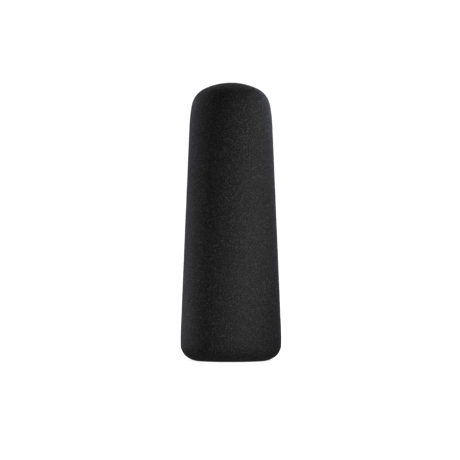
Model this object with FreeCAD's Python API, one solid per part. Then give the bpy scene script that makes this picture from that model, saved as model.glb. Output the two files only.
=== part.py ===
import FreeCAD, Part
import math
import os

# A slip-on foam windscreen for a shotgun microphone, in millimetres, with +Z up.
# The origin is the centre of the flat underside, on the axis of the bore that
# the microphone's tube goes into. The foam lifts off a collar that stays on the tube.

# Outside of the foam, from the nose down. Angles are in degrees.
HEIGHT = 140.0              # underside to the tip of the nose
CROWN_RADIUS = 30.8         # flattened crown of the nose
CROWN_ANGLE = 25.6          # slope where the crown meets the shoulder
SHOULDER_RADIUS = 11.6      # tight turn from the crown to the side
SHOULDER_ANGLE = 79.9       # slope where the shoulder meets the blend
BLEND_RADIUS = 82.0         # slow turn into the straight taper
WALL_TAPER = 2.44           # the side leans in by this much towards the nose
BELLY_RADIUS = 208.0        # slow turn from the taper to the upright base
BASE_EDGE_RADIUS = 7.9      # rounded edge of the base
BASE_EDGE_ANGLE = 148.5     # slope where the rounded edge meets the underside's curve
UNDERSIDE_RADIUS = 10.8     # slower turn into the flat of the underside

# The collar that stays on the microphone's tube.
FLANGE_RADIUS = 15.2
FLANGE_THICKNESS = 2.0
FLANGE_EDGE_RADIUS = 0.5
NECK_RADIUS = 12.8
NECK_TOP = 22.0
NECK_BORE_RADIUS = 11.4
NECK_CHAMFER = 0.3
FOOT_SEAT_RADIUS = 12.9     # step in the underside that holds the sleeve's foot
FOOT_SEAT_DEPTH = 1.2
LUG_COUNT = 2               # lugs that stop the foam from turning on the neck
LUG_WIDTH = 1.6
LUG_RADIUS = 13.5
LUG_TOP = 6.0

# The soft sleeve inside the collar, which grips a tube of 20 mm and stretches to 22 mm.
GRIP_RADIUS = 10.0
GRIP_COUNT = 3
GRIP_LENGTH = 4.0
GRIP_GAP = 2.6
GRIP_GROOVE_DEPTH = 0.7
FIRST_GRIP_Z = 1.9
SLEEVE_FOOT_Z = 0.2         # the foot stays this far above the underside
SLEEVE_MOUTH_RADIUS = 11.6
SLEEVE_TOP_RADIUS = 10.8
SLEEVE_BEAD_RADIUS = 12.2   # bead that hooks over the top of the neck
SLEEVE_BEAD_HEIGHT = 0.8

# The rubber ring in the neck's groove, which stands barely proud of the neck.
RING_Z = 18.0
RING_SECTION_RADIUS = 0.45
RING_PROUD = 0.02
GROOVE_WIDTH = 1.0
GROOVE_CLEARANCE = 0.02

# The stiff socket ring that is bonded into the foam's mouth and slides on the neck.
SOCKET_CLEARANCE = 0.05     # running fit on the neck
SOCKET_OUTER_RADIUS = 14.0
SOCKET_LIFT = 0.05          # gap between the ring and the flange when pushed home
SOCKET_SHOULDER_Z = 23.0    # underside of the shoulder that stops on the neck
SOCKET_TOP = 24.2
SOCKET_CHAMFER = 0.3
NOTCH_CLEARANCE = 0.2       # each side of a lug
NOTCH_TOP = 6.4

# The bore in the foam, its liner and the stop at its blind end.
RECESS_RADIUS = 15.5        # step in the underside that the flange sits in
RECESS_DEPTH = 2.3
FOAM_BORE_RADIUS = 11.5
LINER_THICKNESS = 0.6
BORE_END = 123.0
PAD_THICKNESS = 4.0
PAD_EDGE_RADIUS = 0.8


def point(radius, height):
    """A point of a half section, which lies in the XZ plane."""
    return FreeCAD.Vector(radius, 0, height)


def arc_about(start, radius, from_angle, to_angle):
    """An arc that begins at start, with its slopes in degrees, and the point where it ends."""
    def outward(angle):
        return point(math.sin(math.radians(angle)), math.cos(math.radians(angle)))
    centre = start - outward(from_angle) * radius
    middle = centre + outward((from_angle + to_angle) / 2) * radius
    end = centre + outward(to_angle) * radius
    return Part.Arc(start, middle, end).toShape(), end


def lines(points):
    """Straight edges through the points, one after the other."""
    return [Part.LineSegment(a, b).toShape() for a, b in zip(points, points[1:])]


def revolved(edges):
    """The solid that a closed half section makes in one turn about the Z axis."""
    face = Part.Face(Part.Wire(edges))
    return face.revolve(FreeCAD.Vector(0, 0, 0), FreeCAD.Vector(0, 0, 1), 360)


def washer(inner_radius, outer_radius, bottom, top):
    """A plain ring or tube about the Z axis."""
    corners = [point(inner_radius, bottom), point(outer_radius, bottom)]
    corners += [point(outer_radius, top), point(inner_radius, top), point(inner_radius, bottom)]
    return revolved(lines(corners))


def key_blocks(width, reach, bottom, top):
    """Blocks that point outwards from the axis, evenly spaced, for the lugs and their notches."""
    blocks = []
    for number in range(LUG_COUNT):
        block = Part.makeBox(reach, width, top - bottom, FreeCAD.Vector(0, -width / 2, bottom))
        turn = number * 360.0 / LUG_COUNT
        block.rotate(FreeCAD.Vector(0, 0, 0), FreeCAD.Vector(0, 0, 1), turn)
        blocks.append(block)
    return blocks


def foam_outline():
    """The outside of the foam from the tip of the nose to the flat of the underside."""
    wall_angle = 90 - WALL_TAPER
    tip = point(0, HEIGHT)
    crown, shoulder_start = arc_about(tip, CROWN_RADIUS, 0, CROWN_ANGLE)
    shoulder, blend_start = arc_about(shoulder_start, SHOULDER_RADIUS, CROWN_ANGLE, SHOULDER_ANGLE)
    blend, wall_start = arc_about(blend_start, BLEND_RADIUS, SHOULDER_ANGLE, wall_angle)
    edge_slope = math.cos(math.radians(BASE_EDGE_ANGLE))
    belly_z = UNDERSIDE_RADIUS * (1 + edge_slope) - BASE_EDGE_RADIUS * edge_slope
    belly_z += BELLY_RADIUS * math.sin(math.radians(WALL_TAPER))
    spread = (wall_start.z - belly_z) * math.tan(math.radians(WALL_TAPER))
    wall_end = point(wall_start.x + spread, belly_z)
    belly, edge_start = arc_about(wall_end, BELLY_RADIUS, wall_angle, 90)
    edge, under_start = arc_about(edge_start, BASE_EDGE_RADIUS, 90, BASE_EDGE_ANGLE)
    under, flat_start = arc_about(under_start, UNDERSIDE_RADIUS, BASE_EDGE_ANGLE, 180)
    outline = [crown, shoulder, blend] + lines([wall_start, wall_end]) + [belly, edge, under]
    return outline, flat_start


def make_foam_body():
    outline, flat_start = foam_outline()
    inside = [
        flat_start,
        point(RECESS_RADIUS, 0),
        point(RECESS_RADIUS, RECESS_DEPTH),
        point(SOCKET_OUTER_RADIUS, RECESS_DEPTH),
        point(SOCKET_OUTER_RADIUS, SOCKET_TOP),
        point(FOAM_BORE_RADIUS, SOCKET_TOP),
        point(FOAM_BORE_RADIUS, BORE_END),
        point(0, BORE_END),
        point(0, HEIGHT),
    ]
    return revolved(outline + lines(inside))


def make_bore_liner():
    inner_radius = FOAM_BORE_RADIUS - LINER_THICKNESS
    return washer(inner_radius, FOAM_BORE_RADIUS, SOCKET_TOP, BORE_END - PAD_THICKNESS)


def make_nose_pad():
    bottom = BORE_END - PAD_THICKNESS
    pad = Part.makeCylinder(FOAM_BORE_RADIUS, PAD_THICKNESS, FreeCAD.Vector(0, 0, bottom))
    lower_rim = [edge for edge in pad.Edges if abs(edge.CenterOfMass.z - bottom) < PAD_EDGE_RADIUS / 2]
    rim = [edge for edge in lower_rim if isinstance(edge.Curve, Part.Circle)]
    return pad.makeFillet(PAD_EDGE_RADIUS, rim)


def make_socket_ring():
    bottom = FLANGE_THICKNESS + SOCKET_LIFT
    bore = NECK_RADIUS + SOCKET_CLEARANCE
    section = [
        point(bore + SOCKET_CHAMFER, bottom),
        point(SOCKET_OUTER_RADIUS, bottom),
        point(SOCKET_OUTER_RADIUS, SOCKET_TOP),
        point(FOAM_BORE_RADIUS, SOCKET_TOP),
        point(FOAM_BORE_RADIUS, SOCKET_SHOULDER_Z),
        point(bore, SOCKET_SHOULDER_Z),
        point(bore, bottom + SOCKET_CHAMFER),
        point(bore + SOCKET_CHAMFER, bottom),
    ]
    ring = revolved(lines(section))
    notch_width = LUG_WIDTH + 2 * NOTCH_CLEARANCE
    return ring.cut(key_blocks(notch_width, 2 * SOCKET_OUTER_RADIUS, 0, NOTCH_TOP))


def make_base_collar():
    groove_floor = NECK_RADIUS + RING_PROUD - 2 * RING_SECTION_RADIUS - GROOVE_CLEARANCE
    groove_low = RING_Z - GROOVE_WIDTH / 2
    groove_high = RING_Z + GROOVE_WIDTH / 2
    top_start = point(FLANGE_RADIUS - FLANGE_EDGE_RADIUS, FLANGE_THICKNESS)
    top_edge, side_start = arc_about(top_start, FLANGE_EDGE_RADIUS, 0, 90)
    side_end = point(FLANGE_RADIUS, FLANGE_EDGE_RADIUS)
    low_edge, underside = arc_about(side_end, FLANGE_EDGE_RADIUS, 90, 180)
    neck_outside = [
        point(NECK_BORE_RADIUS, NECK_TOP),
        point(NECK_RADIUS - NECK_CHAMFER, NECK_TOP),
        point(NECK_RADIUS, NECK_TOP - NECK_CHAMFER),
        point(NECK_RADIUS, groove_high),
        point(groove_floor, groove_high),
        point(groove_floor, groove_low),
        point(NECK_RADIUS, groove_low),
        point(NECK_RADIUS, FLANGE_THICKNESS),
        top_start,
    ]
    bore = [
        underside,
        point(FOOT_SEAT_RADIUS, 0),
        point(FOOT_SEAT_RADIUS, FOOT_SEAT_DEPTH),
        point(NECK_BORE_RADIUS, FOOT_SEAT_DEPTH),
        point(NECK_BORE_RADIUS, NECK_TOP),
    ]
    edges = lines(neck_outside) + [top_edge] + lines([side_start, side_end]) + [low_edge] + lines(bore)
    collar = revolved(edges)
    lug_zone = washer(NECK_RADIUS - NECK_CHAMFER, LUG_RADIUS, FLANGE_THICKNESS, LUG_TOP)
    lugs = [block.common(lug_zone) for block in key_blocks(LUG_WIDTH, FLANGE_RADIUS, 0, LUG_TOP)]
    return collar.fuse(lugs).removeSplitter()


def make_grip_sleeve():
    bead_top = NECK_TOP + SLEEVE_BEAD_HEIGHT
    mouth_top = FIRST_GRIP_Z
    outside = [
        point(SLEEVE_TOP_RADIUS, bead_top),
        point(SLEEVE_BEAD_RADIUS, bead_top),
        point(SLEEVE_BEAD_RADIUS, NECK_TOP),
        point(NECK_BORE_RADIUS, NECK_TOP),
        point(NECK_BORE_RADIUS, FOOT_SEAT_DEPTH),
        point(FOOT_SEAT_RADIUS, FOOT_SEAT_DEPTH),
        point(FOOT_SEAT_RADIUS, SLEEVE_FOOT_Z),
        point(SLEEVE_MOUTH_RADIUS, SLEEVE_FOOT_Z),
        point(GRIP_RADIUS, mouth_top),
    ]
    edges = lines(outside)
    z = mouth_top
    for number in range(GRIP_COUNT):
        edges += lines([point(GRIP_RADIUS, z), point(GRIP_RADIUS, z + GRIP_LENGTH)])
        z += GRIP_LENGTH
        if number < GRIP_COUNT - 1:
            low = point(GRIP_RADIUS, z)
            deep = point(GRIP_RADIUS + GRIP_GROOVE_DEPTH, z + GRIP_GAP / 2)
            z += GRIP_GAP
            edges.append(Part.Arc(low, deep, point(GRIP_RADIUS, z)).toShape())
    flare = [point(GRIP_RADIUS, z), point(SLEEVE_TOP_RADIUS, NECK_TOP), point(SLEEVE_TOP_RADIUS, bead_top)]
    edges += lines(flare)
    return revolved(edges)


def make_retaining_ring():
    centre_radius = NECK_RADIUS + RING_PROUD - RING_SECTION_RADIUS
    return Part.makeTorus(centre_radius, RING_SECTION_RADIUS, FreeCAD.Vector(0, 0, RING_Z))


def main():
    pieces = {
        "foam_body": make_foam_body(),
        "bore_liner": make_bore_liner(),
        "nose_pad": make_nose_pad(),
        "socket_ring": make_socket_ring(),
        "base_collar": make_base_collar(),
        "grip_sleeve": make_grip_sleeve(),
        "retaining_ring": make_retaining_ring(),
    }
    os.makedirs("parts", exist_ok=True)
    for name, shape in pieces.items():
        shape.exportStep("parts/" + name + ".step")
        box = shape.BoundBox
        facts = "valid" if shape.isValid() else "NOT VALID"
        print(f"{name}: {facts}, {len(shape.Solids)} solid, {shape.Volume:.0f} mm3, "
              f"radius {box.XMax:.2f}, z {box.ZMin:.2f} to {box.ZMax:.2f}")


main()
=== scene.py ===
import math

import bmesh
import bpy
import numpy as np
from mathutils import Matrix, Vector


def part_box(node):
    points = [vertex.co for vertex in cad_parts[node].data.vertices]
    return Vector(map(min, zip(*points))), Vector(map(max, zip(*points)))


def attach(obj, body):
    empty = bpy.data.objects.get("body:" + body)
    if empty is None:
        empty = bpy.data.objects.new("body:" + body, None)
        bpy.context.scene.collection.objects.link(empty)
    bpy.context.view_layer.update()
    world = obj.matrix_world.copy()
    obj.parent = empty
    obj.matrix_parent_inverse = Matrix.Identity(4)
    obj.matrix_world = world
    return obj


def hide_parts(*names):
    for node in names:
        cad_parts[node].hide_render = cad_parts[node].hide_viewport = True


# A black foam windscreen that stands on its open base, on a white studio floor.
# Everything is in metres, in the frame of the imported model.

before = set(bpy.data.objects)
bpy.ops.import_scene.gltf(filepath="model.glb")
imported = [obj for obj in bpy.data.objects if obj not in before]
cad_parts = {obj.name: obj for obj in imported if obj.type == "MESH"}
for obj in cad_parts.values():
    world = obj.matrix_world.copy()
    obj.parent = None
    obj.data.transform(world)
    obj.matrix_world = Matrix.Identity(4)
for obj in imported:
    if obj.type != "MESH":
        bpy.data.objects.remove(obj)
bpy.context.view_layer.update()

MM = 0.001

# Outside of the foam, from the nose down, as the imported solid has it. Angles in degrees.
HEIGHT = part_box("foam_body")[1].z
CROWN_RADIUS = 30.8 * MM
CROWN_ANGLE = 25.6
SHOULDER_RADIUS = 11.6 * MM
SHOULDER_ANGLE = 79.9
BLEND_RADIUS = 82.0 * MM
WALL_TAPER = 2.44
BELLY_RADIUS = 208.0 * MM
BASE_EDGE_RADIUS = 7.9 * MM
BASE_EDGE_ANGLE = 148.5
UNDERSIDE_RADIUS = 10.8 * MM

# Hollows of the foam, taken from the pieces that sit in them.
SEAT_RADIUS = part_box("socket_ring")[1].x
SEAT_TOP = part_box("socket_ring")[1].z
BORE_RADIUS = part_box("nose_pad")[1].x
BORE_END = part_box("nose_pad")[1].z
RECESS_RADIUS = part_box("base_collar")[1].x + 0.3 * MM
RECESS_DEPTH = 2.3 * MM
SOFT_EDGE = 0.35 * MM               # how far the cut edges of the foam are rounded

# How finely the foam is meshed.
SKIN_STEP = 0.525 * MM
BORE_STEP = 1.6 * MM
STEP_GROWTH = 1.3                   # from the fine mesh of the skin to the coarser one of the bore
FEWEST_ROUND = 6                    # points in the smallest ring about the axis
CORNER_STEPS = (0.25, 0.5, 0.75, 1.0)

# Relief of the foam's skin. The pad has the same waves.
SKIN_SEED = 11
CELL_SIZE = 1.15 * MM
CELL_DEPTH = 0.13 * MM
WAVE_SIZE = 9.0 * MM
WAVE_DEPTH = 0.015 * MM
WAVE_COUNT = 24
PIT_REACH = 0.6                     # difference of distances where a cell is deepest, in cells

# The coarse foam of the pad at the blind end of the bore.
PAD_SEED = 23
PAD_SETBACK = 0.12 * MM             # keeps its uneven skin inside the bore
PAD_EDGE = 0.8 * MM
PAD_STEP = 0.42 * MM
PAD_CELL_SIZE = 1.7 * MM
PAD_CELL_DEPTH = 0.22 * MM

# The net that lines the bore.
NET_THICKNESS = 0.6 * MM            # of the two crossing layers together
STRAND_RADIUS = 0.28 * NET_THICKNESS
OUTER_LAYER_DEPTH = 0.28 * NET_THICKNESS
INNER_LAYER_DEPTH = 0.72 * NET_THICKNESS
NET_RIM = 0.35 * MM                 # from each end of the net to the middle of its rim
NET_STRANDS = 16
NET_TURNS = 1.15                    # how far a strand winds round from end to end
NET_STEPS = 84
NET_RIM_STEPS = 72
STRAND_SIDES = 6
RIM_SIDES = 8


# ---------------------------------------------------------------- outlines

def slope_vector(angle):
    """Unit vector in a half section, (radius, height), at an angle from straight up."""
    return np.array([math.sin(math.radians(angle)), math.cos(math.radians(angle))])


def arc_rows(start, radius, from_angle, to_angle, step):
    """Points along an arc that begins at start, without start itself."""
    centre = start - radius * slope_vector(from_angle)
    length = radius * math.radians(abs(to_angle - from_angle))
    count = max(2, math.ceil(length / step))
    angles = np.linspace(from_angle, to_angle, count + 1)[1:]
    return [centre + radius * slope_vector(a) for a in angles]


def line_rows(start, end, step):
    """Points along a straight run that begins at start, without start itself."""
    count = max(1, math.ceil(np.linalg.norm(end - start) / step))
    return [start + (end - start) * t for t in np.linspace(0, 1, count + 1)[1:]]


def foam_skin_rows():
    """The outside of the foam in a half section, from the tip of the nose to the underside."""
    wall_angle = 90 - WALL_TAPER
    rows = [np.array([0.0, HEIGHT])]
    rows += arc_rows(rows[-1], CROWN_RADIUS, 0, CROWN_ANGLE, SKIN_STEP)
    rows += arc_rows(rows[-1], SHOULDER_RADIUS, CROWN_ANGLE, SHOULDER_ANGLE, SKIN_STEP)
    rows += arc_rows(rows[-1], BLEND_RADIUS, SHOULDER_ANGLE, wall_angle, SKIN_STEP)
    edge_slope = math.cos(math.radians(BASE_EDGE_ANGLE))
    # The height where the straight wall ends, so that the arcs below it come down to zero.
    belly_z = UNDERSIDE_RADIUS * (1 + edge_slope) - BASE_EDGE_RADIUS * edge_slope
    belly_z += BELLY_RADIUS * math.sin(math.radians(WALL_TAPER))
    spread = (rows[-1][1] - belly_z) * math.tan(math.radians(WALL_TAPER))
    wall_end = np.array([rows[-1][0] + spread, belly_z])
    rows += line_rows(rows[-1], wall_end, SKIN_STEP)
    rows += arc_rows(rows[-1], BELLY_RADIUS, wall_angle, 90, SKIN_STEP)
    rows += arc_rows(rows[-1], BASE_EDGE_RADIUS, 90, BASE_EDGE_ANGLE, SKIN_STEP)
    rows += arc_rows(rows[-1], UNDERSIDE_RADIUS, BASE_EDGE_ANGLE, 180, SKIN_STEP)
    return rows


def rounded_path(corners, radius, step):
    """Straight runs through the corners of a half section, with short curves at the inner ones."""
    rows = []
    here = corners[0]
    for before, corner, after in zip(corners, corners[1:], corners[2:]):
        inward = (before - corner) / np.linalg.norm(before - corner)
        onward = (after - corner) / np.linalg.norm(after - corner)
        rows += line_rows(here, corner + inward * radius, step)
        for t in CORNER_STEPS:
            rows.append(corner + inward * radius * (1 - t) ** 2 + onward * radius * t ** 2)
        here = rows[-1]
    return rows + line_rows(here, corners[-1], step)


# ---------------------------------------------------------------- meshes

def add_object(name, data):
    """A new object for a mesh, light or camera, in the scene."""
    piece = bpy.data.objects.new(name, data)
    bpy.context.scene.collection.objects.link(piece)
    return piece


def ring_count(radius, step):
    """How many points go round a ring, so that they stand about a step apart."""
    if radius < step / 4:
        return 1
    return max(FEWEST_ROUND, round(2 * math.pi * radius / step))


def zip_rings(first_a, count_a, first_b, count_b):
    """Triangles between two rings of evenly spaced points, whose counts may differ."""
    faces = []
    a = b = 0
    while a < count_a or b < count_b:
        ahead_a = (a + 1) / count_a if a < count_a else math.inf
        ahead_b = (b + 1) / count_b if b < count_b else math.inf
        here_a = first_a + a % count_a
        here_b = first_b + b % count_b
        if (ahead_a <= ahead_b and count_a > 1) or b >= count_b:
            faces.append((here_a, here_b, first_a + (a + 1) % count_a))
            a += 1
        else:
            faces.append((here_a, here_b, first_b + (b + 1) % count_b))
            b += 1
    return [f for f in faces if len(set(f)) == 3]


def turned_mesh(name, rows, steps):
    """A closed mesh that a half section makes about the Z axis, out of near-regular triangles."""
    points = []
    faces = []
    previous = None
    for number, (row, step) in enumerate(zip(rows, steps)):
        count = ring_count(row[0], step)
        first = len(points)
        shift = 0.5 * (number % 2) / count
        for k in range(count):
            angle = 2 * math.pi * (k / count + shift)
            points.append((row[0] * math.cos(angle), row[0] * math.sin(angle), row[1]))
        if previous:
            faces += zip_rings(previous[0], previous[1], first, count)
        previous = (first, count)
    mesh = bpy.data.meshes.new(name)
    mesh.from_pydata(points, [], faces)
    mesh.validate()
    mesh.update()
    mesh.shade_smooth()
    return add_object(name, mesh)


def mesh_points(mesh):
    """The places of a mesh's points, one row each."""
    points = np.zeros(len(mesh.vertices) * 3)
    mesh.vertices.foreach_get("co", points)
    return points.reshape(-1, 3)


def vertex_normals(mesh):
    """The normals of a mesh's points, one row each."""
    normals = np.zeros(len(mesh.vertices) * 3)
    mesh.vertices.foreach_get("normal", normals)
    return normals.reshape(-1, 3)


def cell_distances(points, size, seed):
    """Distance from each point to its nearest and next nearest random cell centre, in cells."""
    random = np.random.default_rng(seed)
    place = (points - points.min(0)) / size + 1.0
    base = np.floor(place).astype(int)
    jitter = random.random((*(base.max(0) + 2), 3))
    nearest = np.full(len(points), np.inf)
    second = np.full(len(points), np.inf)
    for shift in np.ndindex(3, 3, 3):
        cell = base + np.array(shift) - 1
        centre = cell + jitter[cell[:, 0], cell[:, 1], cell[:, 2]]
        distance = np.linalg.norm(place - centre, axis=1)
        second = np.minimum(second, np.maximum(nearest, distance))
        nearest = np.minimum(nearest, distance)
    return nearest, second


def smooth_waves(points, size, seed):
    """Soft random waves about one size long, mostly between -1 and 1."""
    random = np.random.default_rng(seed)
    total = np.zeros(len(points))
    for _ in range(WAVE_COUNT):
        direction = random.normal(size=3)
        direction /= np.linalg.norm(direction)
        length = size * random.uniform(0.7, 1.8)
        start = random.uniform(0, 2 * math.pi)
        total += np.sin(points @ direction * 2 * math.pi / length + start)
    return total / math.sqrt(WAVE_COUNT)


def add_foam_relief(piece, cell_size, cell_depth, seed):
    """Sinks the open cells into a foam piece's surface and gives it the slight waves of the cut."""
    mesh = piece.data
    points = mesh_points(mesh)
    nearest, second = cell_distances(points, cell_size, seed)
    pit = np.clip((second - nearest) / PIT_REACH, 0, 1)
    waves = smooth_waves(points, WAVE_SIZE, seed + 1)
    depth = cell_depth * (0.5 - pit) + WAVE_DEPTH * waves
    points += vertex_normals(mesh) * depth[:, None]
    points[:, 2] = np.maximum(points[:, 2], 0.0)    # nothing sinks into the table
    mesh.vertices.foreach_set("co", points.ravel())
    mesh.update()


# ---------------------------------------------------------------- materials

# The foam's colour, with painted shade in its open pores. Sizes are in cells.
STRUT_SHARE = 0.4                   # of its tone, where grain makes the rest
FOAM_CONTRAST = 2.1                 # the power that keeps most of the foam dark
GRAIN_SIZE = 0.4
PATCH_SIZE = 6
PATCH_SHADE = 0.93                  # of the darkest patches, where the palest have 1


class Shader:
    """One material, and short ways to add nodes to it."""

    def __init__(self, name):
        self.material = bpy.data.materials.new(name)
        self.material.use_nodes = True
        self.nodes = self.material.node_tree.nodes
        self.links = self.material.node_tree.links
        self.surface = self.nodes["Principled BSDF"]
        self.place = self.nodes.new("ShaderNodeTexCoord").outputs["Object"]

    def link(self, value, socket):
        """Feeds a socket from another one, or sets it to a plain value."""
        if isinstance(value, bpy.types.NodeSocket):
            self.links.new(value, socket)
        else:
            socket.default_value = value

    def mapped(self, turn=(0, 0, 0), scale=(1, 1, 1)):
        """The place on the surface, turned about the origin and stretched along each axis."""
        node = self.nodes.new("ShaderNodeMapping")
        self.links.new(self.place, node.inputs["Vector"])
        node.inputs["Rotation"].default_value = turn
        node.inputs["Scale"].default_value = scale
        return node.outputs["Vector"]

    def noise(self, size, detail=3.0, roughness=0.55, distortion=0.0, place=None):
        """Random blotches about one size wide."""
        node = self.nodes.new("ShaderNodeTexNoise")
        self.link(self.place if place is None else place, node.inputs["Vector"])
        node.inputs["Scale"].default_value = 1 / size
        node.inputs["Detail"].default_value = detail
        node.inputs["Roughness"].default_value = roughness
        node.inputs["Distortion"].default_value = distortion
        return node.outputs["Fac"]

    def cells(self, size, feature="F1"):
        """Distance in a pattern of random cells, each about one size wide."""
        node = self.nodes.new("ShaderNodeTexVoronoi")
        node.feature = feature
        self.link(self.place, node.inputs["Vector"])
        node.inputs["Scale"].default_value = 1 / size
        return node.outputs["Distance"]

    def math(self, operation, a, b, clamp=False):
        """One sum, product or power of two values."""
        node = self.nodes.new("ShaderNodeMath")
        node.operation = operation
        node.use_clamp = clamp
        self.link(a, node.inputs[0])
        self.link(b, node.inputs[1])
        return node.outputs[0]

    def weigh(self, a, b, share):
        """A share of a and the rest of b."""
        return self.math("ADD", self.math("MULTIPLY", a, share), self.math("MULTIPLY", b, 1 - share))

    def ramp(self, value, low, high, to_low=0.0, to_high=1.0):
        """The value's range from low to high, turned smoothly into another range."""
        node = self.nodes.new("ShaderNodeMapRange")
        node.interpolation_type = "SMOOTHSTEP"
        self.link(value, node.inputs["Value"])
        node.inputs["From Min"].default_value = low
        node.inputs["From Max"].default_value = high
        node.inputs["To Min"].default_value = to_low
        node.inputs["To Max"].default_value = to_high
        return node.outputs["Result"]

    def mix(self, factor, a, b):
        """A colour between a and b."""
        node = self.nodes.new("ShaderNodeMix")
        node.data_type = "RGBA"
        self.link(factor, node.inputs["Factor"])
        self.link(a, node.inputs["A"])
        self.link(b, node.inputs["B"])
        return node.outputs["Result"]

    def bump(self, height, distance):
        """A normal that a height from 0 to 1 tilts, as if it stood out by the distance."""
        node = self.nodes.new("ShaderNodeBump")
        node.inputs["Distance"].default_value = distance
        self.link(height, node.inputs["Height"])
        return node.outputs["Normal"]

    def finish(self, **values):
        """Sets the surface's sockets by name, where a space in the name is an underscore."""
        for name, value in values.items():
            self.link(value, self.surface.inputs[name.replace("_", " ")])
        return self.material


def grey(level, tint=0.0):
    """A nearly neutral colour. A positive tint makes it cooler."""
    return (level * (1 - tint), level, level * (1 + tint), 1.0)


def foam_material(name, cell_size, dark, light):
    """Open-cell foam: pale struts round cells darkened with painted shade in the pores, with a finer
    grain and faint patches.
    """
    s = Shader(name)
    s.place = s.mapped(turn=(0.4, 0.7, 0.3))    # so that the pattern's grid follows no face
    # painted shade: the hollows of the cells are dark between the pale struts
    struts = s.ramp(s.cells(cell_size, "DISTANCE_TO_EDGE"), 0.02, 0.25, 1.0, 0.0)
    grain = s.ramp(s.noise(GRAIN_SIZE * cell_size, 1.0, 0.5), 0.44, 0.76)
    patches = s.ramp(s.noise(PATCH_SIZE * cell_size, 4.0, 0.6), 0.3, 0.7, PATCH_SHADE, 1.0)
    tone = s.weigh(struts, grain, STRUT_SHARE)
    tone = s.math("MULTIPLY", s.math("POWER", tone, FOAM_CONTRAST), patches, clamp=True)
    colour = s.mix(tone, dark, light)
    normal = s.bump(tone, 0.3 * cell_size)
    rough = s.ramp(tone, 0.0, 1.0, 0.64, 0.5)
    return s.finish(Base_Color=colour, Roughness=rough, Normal=normal, Specular_IOR_Level=0.3)


def net_material():
    """Extruded plastic net: satin strands with faint draw lines."""
    s = Shader("extruded_net")
    tone = s.noise(2.5 * MM, 4.0, 0.6)
    lines = s.noise(0.25 * MM, 2.0, 0.5, place=s.mapped(scale=(1.0, 1.0, 0.12)))
    colour = s.mix(tone, grey(0.016), grey(0.034, 0.02))
    rough = s.ramp(tone, 0.3, 0.7, 0.34, 0.48)
    return s.finish(Base_Color=colour, Roughness=rough, Normal=s.bump(lines, 0.03 * MM))


def moulded_material(name, dark, light, texture_size, texture_depth, rough_low, rough_high):
    """Moulded plastic or rubber: a fine surface texture, handling sheen and slight flow marks."""
    s = Shader(name)
    flow = s.noise(9 * MM, 5.0, 0.6, 0.8)
    fine = s.noise(texture_size, 3.0, 0.6)
    speckle = s.ramp(s.cells(2.2 * texture_size), 0.12, 0.5, 1.0, 0.0)
    tone = s.weigh(flow, fine, 0.7)
    colour = s.mix(s.ramp(tone, 0.3, 0.7), dark, light)
    height = s.weigh(fine, speckle, 0.6)
    rough = s.ramp(tone, 0.35, 0.65, rough_low, rough_high)
    return s.finish(Base_Color=colour, Roughness=rough, Normal=s.bump(height, texture_depth))


def turned_plastic_material(name, dark, light):
    """Satin plastic out of a turned mould: very fine rings and faint flow marks."""
    s = Shader(name)
    flow = s.noise(7 * MM, 5.0, 0.6, 0.6)
    rings = s.noise(0.9 * MM, 3.0, 0.6, place=s.mapped(scale=(0.02, 0.02, 4.0)))
    grain = s.noise(0.35 * MM, 2.0, 0.5)
    tone = s.weigh(flow, grain, 0.75)
    colour = s.mix(s.ramp(tone, 0.3, 0.7), dark, light)
    height = s.weigh(rings, grain, 0.7)
    rough = s.ramp(tone, 0.35, 0.65, 0.42, 0.56)
    return s.finish(Base_Color=colour, Roughness=rough, Normal=s.bump(height, 0.014 * MM))


# ---------------------------------------------------------------- pieces

def finish_piece(piece, node, material):
    """Gives a piece its material, and hides the CAD node it stands for. Each piece moves with the
    foam.
    """
    piece.data.materials.append(material)
    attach(piece, "foam")
    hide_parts(node)


def make_foam_body():
    """The whole foam: its skin, the recess and the seat in its mouth, and the blind bore."""
    skin = foam_skin_rows()
    corners = [
        skin[-1],
        np.array([RECESS_RADIUS, 0.0]),
        np.array([RECESS_RADIUS, RECESS_DEPTH]),
        np.array([SEAT_RADIUS, RECESS_DEPTH]),
        np.array([SEAT_RADIUS, SEAT_TOP]),
        np.array([BORE_RADIUS, SEAT_TOP]),
        np.array([BORE_RADIUS, BORE_END]),
        np.array([0.0, BORE_END]),
    ]
    hollow = rounded_path(corners, SOFT_EDGE, BORE_STEP)
    rows = skin + hollow
    steps = [SKIN_STEP] * len(skin)
    steps += [min(BORE_STEP, SKIN_STEP * STEP_GROWTH ** (k + 1)) for k in range(len(hollow))]
    foam = turned_mesh("windscreen_foam", rows, steps)
    add_foam_relief(foam, CELL_SIZE, CELL_DEPTH, SKIN_SEED)
    # the dark end is partly the painted shade of the pores and partly the foam's darker grain
    material = foam_material("skin_foam", CELL_SIZE, grey(0.006), grey(0.148, 0.008))
    finish_piece(foam, "foam_body", material)


def make_nose_pad():
    """The disc of coarse foam that stops the microphone at the blind end of the bore."""
    low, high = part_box("nose_pad")
    radius = high.x - PAD_SETBACK
    bottom = low.z + PAD_SETBACK
    top = high.z - PAD_SETBACK
    corners = [np.array(c) for c in ((0.0, top), (radius, top), (radius, bottom), (0.0, bottom))]
    rows = [corners[0]] + rounded_path(corners, PAD_EDGE, PAD_STEP)
    pad = turned_mesh("nose_stop_pad", rows, [PAD_STEP] * len(rows))
    add_foam_relief(pad, PAD_CELL_SIZE, PAD_CELL_DEPTH, PAD_SEED)
    # the dark end is partly the painted shade of the pores and partly the foam's darker grain
    material = foam_material("coarse_foam", PAD_CELL_SIZE, grey(0.03), grey(0.125, 0.01))
    finish_piece(pad, "nose_pad", material)


def helix_points(radius, start_angle, turns, low, high, count):
    """Points along a helix about the Z axis. Negative turns wind it the other way."""
    points = []
    for t in np.linspace(0, 1, count + 1):
        angle = start_angle + 2 * math.pi * turns * t
        height = low + (high - low) * t
        points.append(Vector((radius * math.cos(angle), radius * math.sin(angle), height)))
    return points


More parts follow.
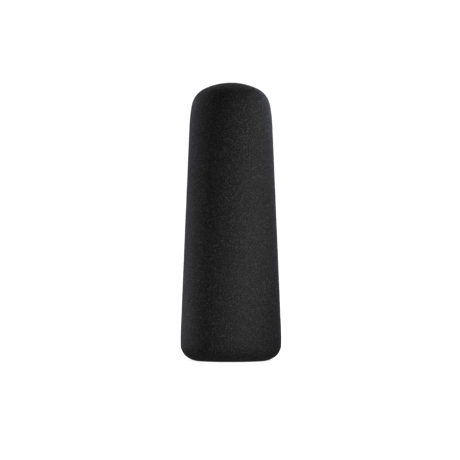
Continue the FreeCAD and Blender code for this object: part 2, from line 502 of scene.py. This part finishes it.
def strand_ring(geometry, place, along, radius, sides):
    """The points round a strand at one place."""
    outward = Vector((place.x, place.y, 0)).normalized()
    outward = (outward - along * outward.dot(along)).normalized()
    across = along.cross(outward)
    ring = []
    for k in range(sides):
        angle = 2 * math.pi * (k + 0.5) / sides
        spoke = outward * math.cos(angle) + across * math.sin(angle)
        ring.append(geometry.verts.new(place + spoke * radius))
    return ring


def add_strand(geometry, points, radius, sides, closed=False):
    """A round strand along the points, with flat ends unless it is a closed ring."""
    rings = []
    count = len(points)
    for number, place in enumerate(points):
        after = points[(number + 1) % count] if closed else points[min(number + 1, count - 1)]
        before = points[number - 1] if closed else points[max(number - 1, 0)]
        along = (after - before).normalized()
        rings.append(strand_ring(geometry, place, along, radius, sides))
    pairs = list(zip(rings, rings[1:]))
    if closed:
        pairs.append((rings[-1], rings[0]))
    else:
        geometry.faces.new(reversed(rings[0]))
        geometry.faces.new(rings[-1])
    for lower, upper in pairs:
        for k in range(sides):
            following = (k + 1) % sides
            geometry.faces.new((lower[k], lower[following], upper[following], upper[k]))


def make_bore_liner():
    """A sleeve of extruded net, two layers of strands that cross, between two welded rims."""
    low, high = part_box("bore_liner")
    outer = high.x - OUTER_LAYER_DEPTH
    inner = high.x - INNER_LAYER_DEPTH
    bottom = low.z + NET_RIM
    top = high.z - NET_RIM
    geometry = bmesh.new()
    for number in range(NET_STRANDS):
        angle = 2 * math.pi * number / NET_STRANDS
        for radius, turns in ((outer, NET_TURNS), (inner, -NET_TURNS)):
            points = helix_points(radius, angle, turns, bottom, top, NET_STEPS)
            add_strand(geometry, points, STRAND_RADIUS, STRAND_SIDES)
    for height in (bottom, top):
        points = helix_points((outer + inner) / 2, 0, 1, height, height, NET_RIM_STEPS)[:-1]
        add_strand(geometry, points, NET_THICKNESS / 2, RIM_SIDES, closed=True)
    mesh = bpy.data.meshes.new("bore_net_liner")
    geometry.to_mesh(mesh)
    geometry.free()
    mesh.shade_smooth()
    liner = add_object("bore_net_liner", mesh)
    finish_piece(liner, "bore_liner", net_material())


def dress_cad_nodes():
    """Gives their materials to the nodes that keep their CAD shape."""
    plastic = moulded_material(
        "textured_plastic", grey(0.018), grey(0.036, 0.03), 0.3 * MM, 0.05 * MM, 0.42, 0.58)
    turned = turned_plastic_material("turned_plastic", grey(0.024), grey(0.044, 0.03))
    silicone = moulded_material(
        "matte_silicone", grey(0.05), grey(0.085, 0.02), 0.18 * MM, 0.02 * MM, 0.55, 0.72)
    rubber = moulded_material(
        "smooth_rubber", grey(0.011), grey(0.023), 0.12 * MM, 0.012 * MM, 0.36, 0.5)
    materials = {
        "base_collar": plastic,
        "socket_ring": turned,
        "grip_sleeve": silicone,
        "retaining_ring": rubber,
    }
    for node, material in materials.items():
        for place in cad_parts[node].material_slots:
            place.material = material


# ---------------------------------------------------------------- studio

CAMERA_DISTANCE = 1.5
CAMERA_HEIGHT = 65.83 * MM
CAMERA_SIDE = -0.47 * MM
VIEW_WIDTH = 231.65 * MM            # width of the picture where the object stands
SENSOR_MM = 36.0

FLOOR_RADIUS = 6.0
FLOOR_CORNERS = 96

# The studio's surroundings, as radiance. The camera sees plain white; the foam is lit by a dim
# room that brightens towards the ceiling, and by the glow of the floor from below.
BACKDROP_WHITE = 1.1
FLOOR_GLOW = (0.8, 1.08)            # the floor's own glow; its low end is a painted contact shadow right at the object
SHADE_REACH = 0.05                  # how near the object the glow fades into the painted shadow
ROOM_LEVEL = 0.04
CEILING_LEVEL = 0.1
GLOW_LEVEL = 0.16
ROOM_STOPS = (                      # from straight down at 0 to straight up at 1
    (0.0, GLOW_LEVEL),
    (0.35, GLOW_LEVEL),
    (0.5, ROOM_LEVEL),
    (0.6, ROOM_LEVEL),
    (1.0, CEILING_LEVEL),
)

KEY_COLOUR = (1.0, 0.995, 0.985)
RIM_COLOUR = (0.99, 0.99, 1.06)
EDGE_COLOUR = (0.92, 0.94, 1.36)

# The lights stand near the object, to shade it from place to place, or far off.
FAR = 1.2
FAR_SIZE = 0.3
NEAR_SIZE = 0.05


def make_camera():
    """A level camera at the photograph's angle, far enough off that perspective is slight."""
    data = bpy.data.cameras.new("camera")
    data.sensor_width = SENSOR_MM
    data.lens = SENSOR_MM * CAMERA_DISTANCE / VIEW_WIDTH
    data.clip_start = 0.05
    data.clip_end = 100
    camera = add_object("camera", data)
    camera.location = (CAMERA_SIDE, -CAMERA_DISTANCE, CAMERA_HEIGHT)
    camera.rotation_euler = (math.radians(90), 0, 0)
    bpy.context.scene.camera = camera


def make_floor():
    """A white disc that glows, for the eye only, with a faint painted shadow where the object stands.
    """
    points = [(0, 0, 0)]
    for k in range(FLOOR_CORNERS):
        angle = 2 * math.pi * k / FLOOR_CORNERS
        points.append((FLOOR_RADIUS * math.cos(angle), FLOOR_RADIUS * math.sin(angle), 0))
    faces = [(0, k + 1, (k + 1) % FLOOR_CORNERS + 1) for k in range(FLOOR_CORNERS)]
    mesh = bpy.data.meshes.new("studio_floor")
    mesh.from_pydata(points, [], faces)
    floor = add_object("studio_floor", mesh)
    floor.data.materials.append(floor_material())
    floor.visible_diffuse = False       # it adds no light to the foam
    floor.visible_glossy = False


def floor_material():
    """Nearly even white, with a glow that an occlusion measure dims near the object: a painted contact
    shadow.
    """
    s = Shader("studio_floor")
    tone = s.noise(0.4, 3.0)
    colour = s.mix(tone, grey(0.9), grey(0.94))
    # painted shadow: an occlusion measure dims the floor's glow near the object
    occlusion = s.nodes.new("ShaderNodeAmbientOcclusion")
    occlusion.inputs["Distance"].default_value = SHADE_REACH
    glow = s.ramp(occlusion.outputs["AO"], 0.3, 1.0, *FLOOR_GLOW)
    s.finish(Base_Color=colour, Roughness=0.9, Specular_IOR_Level=0.1)
    return s.finish(Emission_Color=grey(1.0), Emission_Strength=glow)


def make_world():
    """The room as the object sees it, and plain white where the camera sees it."""
    world = bpy.data.worlds.new("studio")
    world.use_nodes = True
    nodes = world.node_tree.nodes
    links = world.node_tree.links
    direction = nodes.new("ShaderNodeTexCoord").outputs["Generated"]
    height = nodes.new("ShaderNodeSeparateXYZ")
    links.new(direction, height.inputs["Vector"])
    room = nodes.new("ShaderNodeValToRGB")
    room.color_ramp.interpolation = "EASE"
    for number, (place, level) in enumerate(ROOM_STOPS):
        stop = room.color_ramp.elements[number] if number < 2 else room.color_ramp.elements.new(place)
        stop.position = place
        stop.color = (level, level, level, 1)
    upward = nodes.new("ShaderNodeMapRange")
    links.new(height.outputs["Z"], upward.inputs["Value"])
    upward.inputs["From Min"].default_value = -1.0
    links.new(upward.outputs["Result"], room.inputs["Fac"])
    seen = nodes.new("ShaderNodeMix")
    seen.data_type = "FLOAT"
    links.new(nodes.new("ShaderNodeLightPath").outputs["Is Camera Ray"], seen.inputs["Factor"])
    links.new(room.outputs["Color"], seen.inputs["A"])
    seen.inputs["B"].default_value = BACKDROP_WHITE
    links.new(seen.outputs["Result"], nodes["Background"].inputs["Strength"])
    nodes["Background"].inputs["Color"].default_value = grey(1.0)
    bpy.context.scene.world = world


def add_area_light(name, place, turn, width, height, power, colour):
    """An area light that the camera doesn't see. The turn is a quaternion."""
    data = bpy.data.lights.new(name, "AREA")
    data.shape = "RECTANGLE"
    data.size = width
    data.size_y = height
    data.energy = power
    data.color = colour
    light = add_object(name, data)
    light.location = place
    light.rotation_mode = "QUATERNION"
    light.rotation_quaternion = turn
    light.visible_camera = False


def make_softbox(name, place, target, width, height, power, colour):
    """A light that faces a target. Its height is upright."""
    turn = (Vector(place) - Vector(target)).to_track_quat("Z", "Y")
    add_area_light(name, place, turn, width, height, power, colour)


def around(azimuth, distance, height):
    """A place round the object. Azimuth 0 is the camera's side and 90 is the right."""
    a = math.radians(azimuth)
    return (distance * math.sin(a), -distance * math.cos(a), height)


def make_strip(name, low_end, high_end, width, power, colour):
    """A long narrow light between two ends, facing the object's axis."""
    low_end = Vector(low_end)
    high_end = Vector(high_end)
    middle = (low_end + high_end) / 2
    along = (high_end - low_end).normalized()
    outward = Vector((middle.x, middle.y, 0))
    outward = (outward - along * outward.dot(along)).normalized()
    turn = Matrix((along.cross(outward), along, outward)).transposed().to_quaternion()
    length = (high_end - low_end).length
    add_area_light(name, middle, turn, width, length, power, colour)


def make_near_light(name, azimuth, distance, height, target, power, colour):
    """A small light close to the object, whose light falls off across it."""
    place = around(azimuth, distance, height)
    make_softbox(name, place, target, NEAR_SIZE, NEAR_SIZE, power, colour)


def make_far_light(name, azimuth, height, target, power, colour):
    """A light far enough off to fall evenly over the object."""
    make_softbox(name, around(azimuth, FAR, height), target, FAR_SIZE, FAR_SIZE, power, colour)


def make_lights():
    """A strip that leans from the lower front to the upper right, fills, and rims from behind."""
    # Azimuth in degrees; distance and height in metres; what the light faces; power in watts.
    low = (0, 0, 0.02)
    middle = (0, 0, 0.07)
    high = (0, 0, 0.12)
    make_strip("key_strip", around(30, 0.1, 0.02), around(82, 0.1, 0.18), 0.03, 0.04, KEY_COLOUR)
    make_near_light("key_high", 80, 0.15, 0.17, high, 0.038, RIM_COLOUR)
    make_near_light("key_low", 20, 0.13, 0.024, low, 0.035, KEY_COLOUR)
    make_far_light("front_fill", -25, 0.3, middle, 0.88, KEY_COLOUR)
    make_far_light("left_back", -121, 0.5, middle, 2.6, RIM_COLOUR)
    make_far_light("left_rim", -145, 0.4, middle, 0.9, EDGE_COLOUR)
    make_near_light("left_edge", -118, 0.17, 0.025, low, 0.028, RIM_COLOUR)
    make_far_light("right_rim", 155, 0.3, middle, 0.4, EDGE_COLOUR)
    make_near_light("right_edge", 138, 0.17, 0.17, high, 0.038, EDGE_COLOUR)
    make_softbox("right_low_edge", around(160, 0.3, 0.05), low, 0.1, 0.1, 0.038, EDGE_COLOUR)
    make_softbox("back_top", around(180, 0.4, 0.38), high, 0.5, 0.2, 0.2, RIM_COLOUR)
    make_softbox("overhead", (0, 0.1, 1.2), (0, 0, 0), 0.8, 0.8, 0.45, KEY_COLOUR)


def make_studio():
    """Everything that isn't the object."""
    make_world()
    make_floor()
    make_lights()
    make_camera()
    bpy.context.scene.view_settings.view_transform = "Standard"
    bpy.context.scene.view_settings.look = "None"


# ---------------------------------------------------------------- whole scene

make_foam_body()
make_nose_pad()
make_bore_liner()
dress_cad_nodes()
make_studio()
